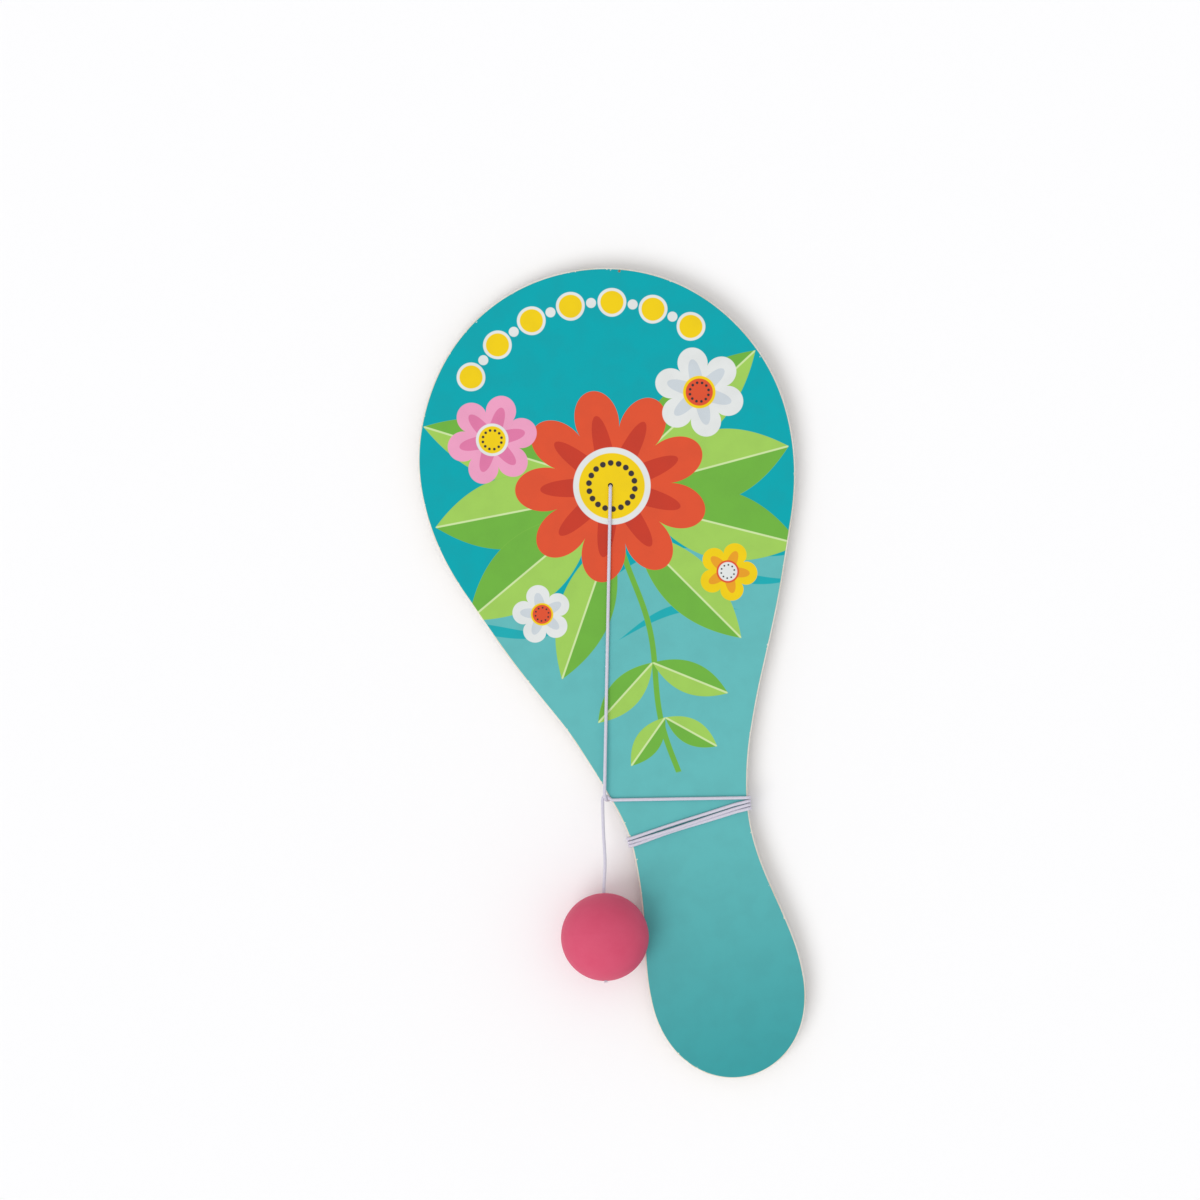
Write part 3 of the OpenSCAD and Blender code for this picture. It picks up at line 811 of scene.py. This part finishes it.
def braided_cord():
    """Elastic under a braided cover: two sets of yarns that wind opposite ways, with painted shade where they
    sink and in the seams between fine yarns, and painted light where the crossings stand up.
    """
    paint = Paint(bpy.data.materials.new("elastic_cord"))
    u, v = paint.surface_uv()
    wind, around = u * (TURN * BRAID_STRANDS), v * (TURN * BRAID_STRANDS)
    left, right = around + wind, around - wind
    crossing = left.maths("COSINE") * right.maths("COSINE")
    left_on_top = paint.eased(crossing, low=-YARN_EDGE, high=YARN_EDGE)
    left_yarns, right_yarns = ((side * YARNS).maths("COSINE") for side in (left, right))
    yarns = left_yarns * left_on_top + right_yarns * (1 - left_on_top)
    # Painted shade darkens the sunk parts of the braid, and painted light brightens the crossings that stand
    # up
    colour = paint.mix(paint.eased(crossing, low=-1.0, high=0.6), CORD_SINK_SHADE, CORD_CROSSING_LIGHT)
    # Painted shade in the seams between the fine yarns
    colour = paint.mix(SEAM_SHADE_SHARE * paint.eased(yarns, low=0.4, high=-0.8), colour, CORD_SEAM_SHADE)
    relief = paint.bump(yarns, distance=0.02 * MM, strength=0.5)
    return paint.surface(Base_Color=colour, Roughness=0.85, Normal=relief, Specular_IOR_Level=0.2)


def ball_rubber():
    """Soft moulded rubber with a faint bloom and a fine skin."""
    paint = Paint(bpy.data.materials.new("ball_rubber"))
    place = paint.place()
    bloom = paint.noise(place, RUBBER_BLOOM, detail=3.0)
    colour = paint.mix(bloom, RUBBER, RUBBER_PALE)
    relief = paint.bump(paint.noise(place, RUBBER_GRIT), distance=0.03 * MM, strength=0.3)
    return paint.surface(Base_Color=colour, Roughness=0.55 + 0.12 * bloom, Normal=relief,
                         Specular_IOR_Level=0.25)


def pale_floor():
    """A matt floor, almost white, with a faint unevenness."""
    paint = Paint(bpy.data.materials.new("floor"))
    grain = paint.noise(paint.place(), FLOOR_GRAIN, detail=3.0)
    return paint.surface(Base_Color=paint.mix(FLOOR_SHARE * grain, FLOOR, FLOOR_SHADE), Roughness=0.9)


# The board and its printed sheet

# Points of the whole outline, of each of its curves and of an eased edge; nearer points than this are one
OUTLINE_POINTS, CURVE_POINTS, EDGE_POINTS = 720, 160, 7
SAME_POINT = 1e-9


def paddle_outline():
    """The board's outline from above as an even closed loop, anticlockwise from the top of the head.

    Each side is an oval quarter, a slower oval below the widest line, a straight flank, the neck's arc,
    half a cosine out to the grip and the grip's oval end, and the swell is added sideways.
    """
    t = np.linspace(0, 1, CURVE_POINTS)
    across, above = (np.clip(wave(t * RIGHT_ANGLE), 0, 1) ** (2 / HEAD_SQUARE) for wave in (np.sin, np.cos))
    head = (HEAD_A * across, HEAD_Y + HEAD_RISE * above)
    shoulder = (HEAD_A * np.cos(t * FLANK_TURN), HEAD_Y - HEAD_FALL * np.sin(t * FLANK_TURN))
    bend = FLANK_ANGLE * (1 - t)
    neck = (NECK_A + NECK_R * (1 - np.cos(bend)), NECK_Y + NECK_R * np.sin(bend))
    grip = (NECK_A + (GRIP_A - NECK_A) * (1 - np.cos(math.pi * t)) / 2, NECK_Y + (GRIP_Y - NECK_Y) * t)
    end = (GRIP_A * np.cos(t * RIGHT_ANGLE), GRIP_Y - GRIP_END * np.sin(t * RIGHT_ANGLE))
    right = np.concatenate([np.column_stack(part) for part in (head, shoulder, neck, grip, end)])
    loop = np.concatenate([right * [-1, 1], right[::-1]])
    keep = np.concatenate([[True], np.linalg.norm(np.diff(loop, axis=0), axis=1) > SAME_POINT])
    loop = loop[keep]
    even = at_lengths(loop, np.linspace(0, lengths_along(loop)[-1], OUTLINE_POINTS, endpoint=False))
    even[:, 0] += np.sign(even[:, 0]) * swell(even[:, 0], even[:, 1])
    return even


OUTLINE = paddle_outline()
ALONG_EDGE = unit(np.roll(OUTLINE, -1, axis=0) - np.roll(OUTLINE, 1, axis=0))
INWARD = np.column_stack([-ALONG_EDGE[:, 1], ALONG_EDGE[:, 0]])

# A ring half way in: narrower, shorter, and tapered below the middle, so that every ray from the hole
# meets it once
MID_WIDTH, MID_LENGTH, MID_TAPER = 0.6, 0.9, 0.3
MID_RING = OUTLINE * [MID_WIDTH, MID_LENGTH]
MID_RING[:, 0] *= 1 - MID_TAPER * smooth(-OUTLINE[:, 1] / (PADDLE_LEN / 2))


def section_rings(rows):
    """Rings between the outline and the hole, one for each row of a section.

    A row is how far the outline is drawn in, the share of the way from there to the hole, the radius at the
    hole and the height. The way goes to the ring half way in, and on along the rays from the hole's middle.
    """
    inset, share, radius, z = (column[:, None, None] for column in np.array(rows, float).T)
    outer = OUTLINE[None] + inset * INWARD[None]
    inner = HOLE + radius * unit(MID_RING - HOLE)[None]
    half = outer + np.clip(2 * share, 0, 1) * (MID_RING[None] - outer)
    flat = half + np.clip(2 * share - 1, 0, 1) * (inner - half)
    return np.concatenate([flat, np.broadcast_to(z, (len(rows), OUTLINE_POINTS, 1))], axis=2)


# A narrow row beside each edge, the hole's eased rim, and where the rows of the faces lie on their way in
SUPPORT = 0.05 * MM
HOLE_RIM = 0.12 * MM
FACE_SHARES = [0.0, 0.17, 0.33, 0.5, 0.65, 0.8, 0.9, 0.96, 0.985]
PRINT_STEPS = np.array([0, 0.2, 0.5, 1.0]) * MM


def board_rows():
    """The board's section: from the hole out along the back, round the edges and in along the front."""
    arc = np.linspace(0, RIGHT_ANGLE, EDGE_POINTS)
    back_arc = [(EDGE_R * (1 - math.sin(a)), 0, 0, BACK_Z + EDGE_R * (1 - math.cos(a))) for a in arc]
    front_arc = [(inset, 0, 0, BACK_Z + BOARD_TOP - z) for inset, _, _, z in back_arc[::-1]]
    flat = EDGE_R + SUPPORT
    back = [(flat, share, HOLE_R, BACK_Z) for share in FACE_SHARES[::-1]]
    front = [(flat, share, HOLE_R, BOARD_TOP) for share in FACE_SHARES]
    rim_low = [(flat, 1, HOLE_R, BACK_Z + HOLE_RIM), (flat, 1, HOLE_R + HOLE_RIM, BACK_Z)]
    rim_high = [(flat, 1, HOLE_R + SUPPORT, BOARD_TOP), (flat, 1, HOLE_R, BOARD_TOP - SUPPORT)]
    return rim_low + back + back_arc + front_arc + front + rim_high


def print_rows():
    """The sheet's section: in along its face, down at the hole, out underneath and up at its edge."""
    near = PRINT_INSET + SUPPORT / 2
    edge = [(near + step, 0, 0, FACE_Z) for step in PRINT_STEPS]
    face = [(near + PRINT_STEPS[-1], share, HOLE_R + HOLE_RIM, FACE_Z) for share in [*FACE_SHARES[1:], 1.0]]
    rim = [(near, 1, HOLE_R + SUPPORT, FACE_Z), (near, 1, HOLE_R, FACE_Z - SUPPORT)]
    under = [(PRINT_INSET, share, HOLE_R, BOARD_TOP) for share in (1.0, 0.5, 0.0)]
    return edge + face + rim + under + [(PRINT_INSET, 0, 0, FACE_Z - SUPPORT / 2)]


def flat_piece(name, rows, material):
    """A closed ring-shaped piece from the rings of its section.

    U is about how far in a ring lies, in millimetres, and V goes once round.
    """
    rings = section_rings(rows)
    inset, share, _, _ = np.array(rows, float).T
    uv = cell_uv((inset + share * HEAD_A) / MM, np.linspace(0, 1, OUTLINE_POINTS + 1), close_rows=True)
    return make_piece(name, rings, grid_faces(len(rows), OUTLINE_POINTS, close_rows=True), material, uv)


# The ball

BALL_TURNS, SKIN_POINTS, RIM_POINTS = 160, 150, 7
RIM_R = 0.3 * MM
# The moulding line's ridge: its height as a share of the radius, and its width in radians
RIDGE_HIGH, RIDGE_WIDE = 0.002, 0.02


def rim_arc(radius, end):
    """A rounded rim between the ball's surface and a hole of a radius at one end: an arc touching both."""
    mid_r = radius + RIM_R
    mid_s = end * math.sqrt((BALL_R - RIM_R) ** 2 - mid_r ** 2)
    outer = math.atan2(mid_r, abs(mid_s))
    a = np.linspace(-RIGHT_ANGLE, outer, RIM_POINTS)
    return np.column_stack([mid_s + end * RIM_R * np.cos(a), mid_r + RIM_R * np.sin(a)])


def ball_profile():
    """The ball's closed section, as distance along its axis and from it.

    It runs out of the bore over its rim, along a half circle with a faint ridge at the moulding line, over
    the mouth's rim and back in through the mouth and the knot's pocket.
    """
    bore_r = CORD_R + BORE_GAP
    pocket_r = KNOT_MID_R + KNOT_LOBE + CORD_R + BORE_GAP
    pocket_half = KNOT_HALF + CORD_R + BORE_GAP
    level = BALL_R - KNOT_DEPTH
    entry, mouth = rim_arc(bore_r, -1), rim_arc(MOUTH_R, 1)[::-1]
    start, stop = math.atan2(entry[-1, 1], entry[-1, 0]), math.atan2(mouth[0, 1], mouth[0, 0])
    a = np.linspace(start, stop, SKIN_POINTS)[1:-1]
    r = BALL_R * (1 + RIDGE_HIGH * np.exp(-((a - RIGHT_ANGLE) / RIDGE_WIDE) ** 2))
    skin = np.column_stack([r * np.cos(a), r * np.sin(a)])
    low, high = level - pocket_half, level + pocket_half
    inner = np.array([[high, MOUTH_R], [high, pocket_r], [low, pocket_r], [low, bore_r], [0, bore_r]])
    return np.concatenate([entry, skin, mouth, inner])


def ball_points():
    """The profile turned round the line of the hanging cord, through the ball's middle."""
    around = np.linspace(0, TURN, BALL_TURNS, endpoint=False)
    s, r = (column[:, None] for column in ball_profile().T)
    along = np.broadcast_to(s, (len(s), BALL_TURNS))
    points = np.stack([r * np.cos(around), r * np.sin(around), along], axis=2)
    return facing(points, BALL_MID, DROP_WAY)


# The pieces, each on its body

wood, sheet_print, cord_braid, rubber = pale_wood(), printed_sheet(), braided_cord(), ball_rubber()

board = flat_piece("paddle_board", board_rows(), wood)
sheet = flat_piece("paddle_print", print_rows(), sheet_print)
ball_rows = ball_points()
ball = make_piece("rubber_ball", ball_rows, grid_faces(len(ball_rows), BALL_TURNS, close_rows=True), rubber)

# Where the cord is divided: before and after its bend at the hitch, and after the bend that lets it lift
BEND_REACH = 1.8 * MM
DROP_PAST = 2.5 * MM
swing_far = FAR[np.argmin(np.linalg.norm(ROUTE - SWING_AT, axis=1))]
lift_len = np.linalg.norm(LIFT_AT - SWING_AT)


def ring_at(s):
    """The ring nearest to a distance past the hitch, along the hanging cord."""
    return int(np.argmin(np.abs(FAR - (swing_far + s))))


main_end, lead_mid, drop_start = ring_at(-BEND_REACH), ring_at(lift_len / 2), ring_at(lift_len + DROP_PAST)
cord_wound = cord_piece("cord_wound", 0, main_end, cord_braid)
cord_swing_bend = cord_piece("cord_swing_bend", main_end, lead_mid, cord_braid)
cord_lift_bend = cord_piece("cord_lift_bend", lead_mid, drop_start, cord_braid)
cord_to_ball = cord_piece("cord_to_ball", drop_start, len(ROUTE) - 1, cord_braid)

fray_back = fray_piece("cord_fray_back", ROUTE[0], unit(ROUTE[0] - ROUTE[1]), SIDE[0], cord_braid)
fray_ball = fray_piece("cord_fray_ball", ROUTE[-1], unit(ROUTE[-1] - ROUTE[-2]), SIDE[-1], cord_braid)

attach(board, "paddle")
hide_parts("board")
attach(sheet, "paddle")
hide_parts("front_print")
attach(ball, "ball")
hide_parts("ball")
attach(cord_wound, "paddle")
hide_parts("cord_back_knot", "cord_front_run", "cord_winding")
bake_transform(cord_swing_bend)
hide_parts("cord_lead")
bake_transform(cord_lift_bend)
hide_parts("cord_lead")
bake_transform(cord_to_ball)
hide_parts("cord_drop", "cord_in_ball", "ball_knot")
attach(fray_back, "paddle")
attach(fray_ball, "ball_tie")

# Stage: a pale floor, a sky that the camera sees as white, and a soft sun from the picture's lower left

FLOOR_HALF = 3.0
SKY_LIGHT = 0.74
SUN_STRENGTH, SUN_SPREAD, SUN_RISE = 1.1, math.radians(36), math.radians(52)
# The camera looks straight down, turned so that the paddle leans as it does in the picture
LENS, SENSOR, VIEW_WIDTH = 160.0, 36.0, 0.384
CLIP_NEAR, CLIP_FAR = 0.05, 20.0
LEAN = math.radians(12.98)
VIEW_MID = np.array([-11.9, 27.3]) * MM

floor_points = np.array([[-1, -1, 0], [1, -1, 0], [1, 1, 0], [-1, 1, 0]]) * FLOOR_HALF
floor = make_piece("floor", floor_points, np.array([[0, 1, 2, 3]]), pale_floor())

world = bpy.data.worlds.new("studio")
bpy.context.scene.world = world
sky = Paint(world)
ray = sky.node("ShaderNodeLightPath", out="Is Camera Ray")
shown = (ray + ray.also("Is Glossy Ray") + ray.also("Is Transmission Ray")).maths("MINIMUM", 1.0)
light = SKY_LIGHT + (1 - SKY_LIGHT) * shown
background = sky.node("ShaderNodeBackground", {}, {"Color": (1, 1, 1, 1), "Strength": light})
sky.node("ShaderNodeOutputWorld", {}, {"Surface": background})

sun = bpy.data.lights.new("soft_sun", "SUN")
sun.energy, sun.angle = SUN_STRENGTH, SUN_SPREAD
sun_lamp = bpy.data.objects.new("soft_sun", sun)
picture_corner = math.atan2(-1, -1) - LEAN
sun_lamp.rotation_euler = (0, RIGHT_ANGLE - SUN_RISE, picture_corner)
bpy.context.scene.collection.objects.link(sun_lamp)

camera = bpy.data.cameras.new("camera")
camera.lens, camera.sensor_width = LENS, SENSOR
camera.clip_start, camera.clip_end = CLIP_NEAR, CLIP_FAR
camera_stand = bpy.data.objects.new("camera", camera)
camera_stand.location = (*VIEW_MID, FACE_Z + VIEW_WIDTH * LENS / SENSOR)
camera_stand.rotation_euler = (0, 0, -LEAN)
bpy.context.scene.collection.objects.link(camera_stand)
bpy.context.scene.camera = camera_stand
bpy.context.scene.view_settings.view_transform = "Standard"
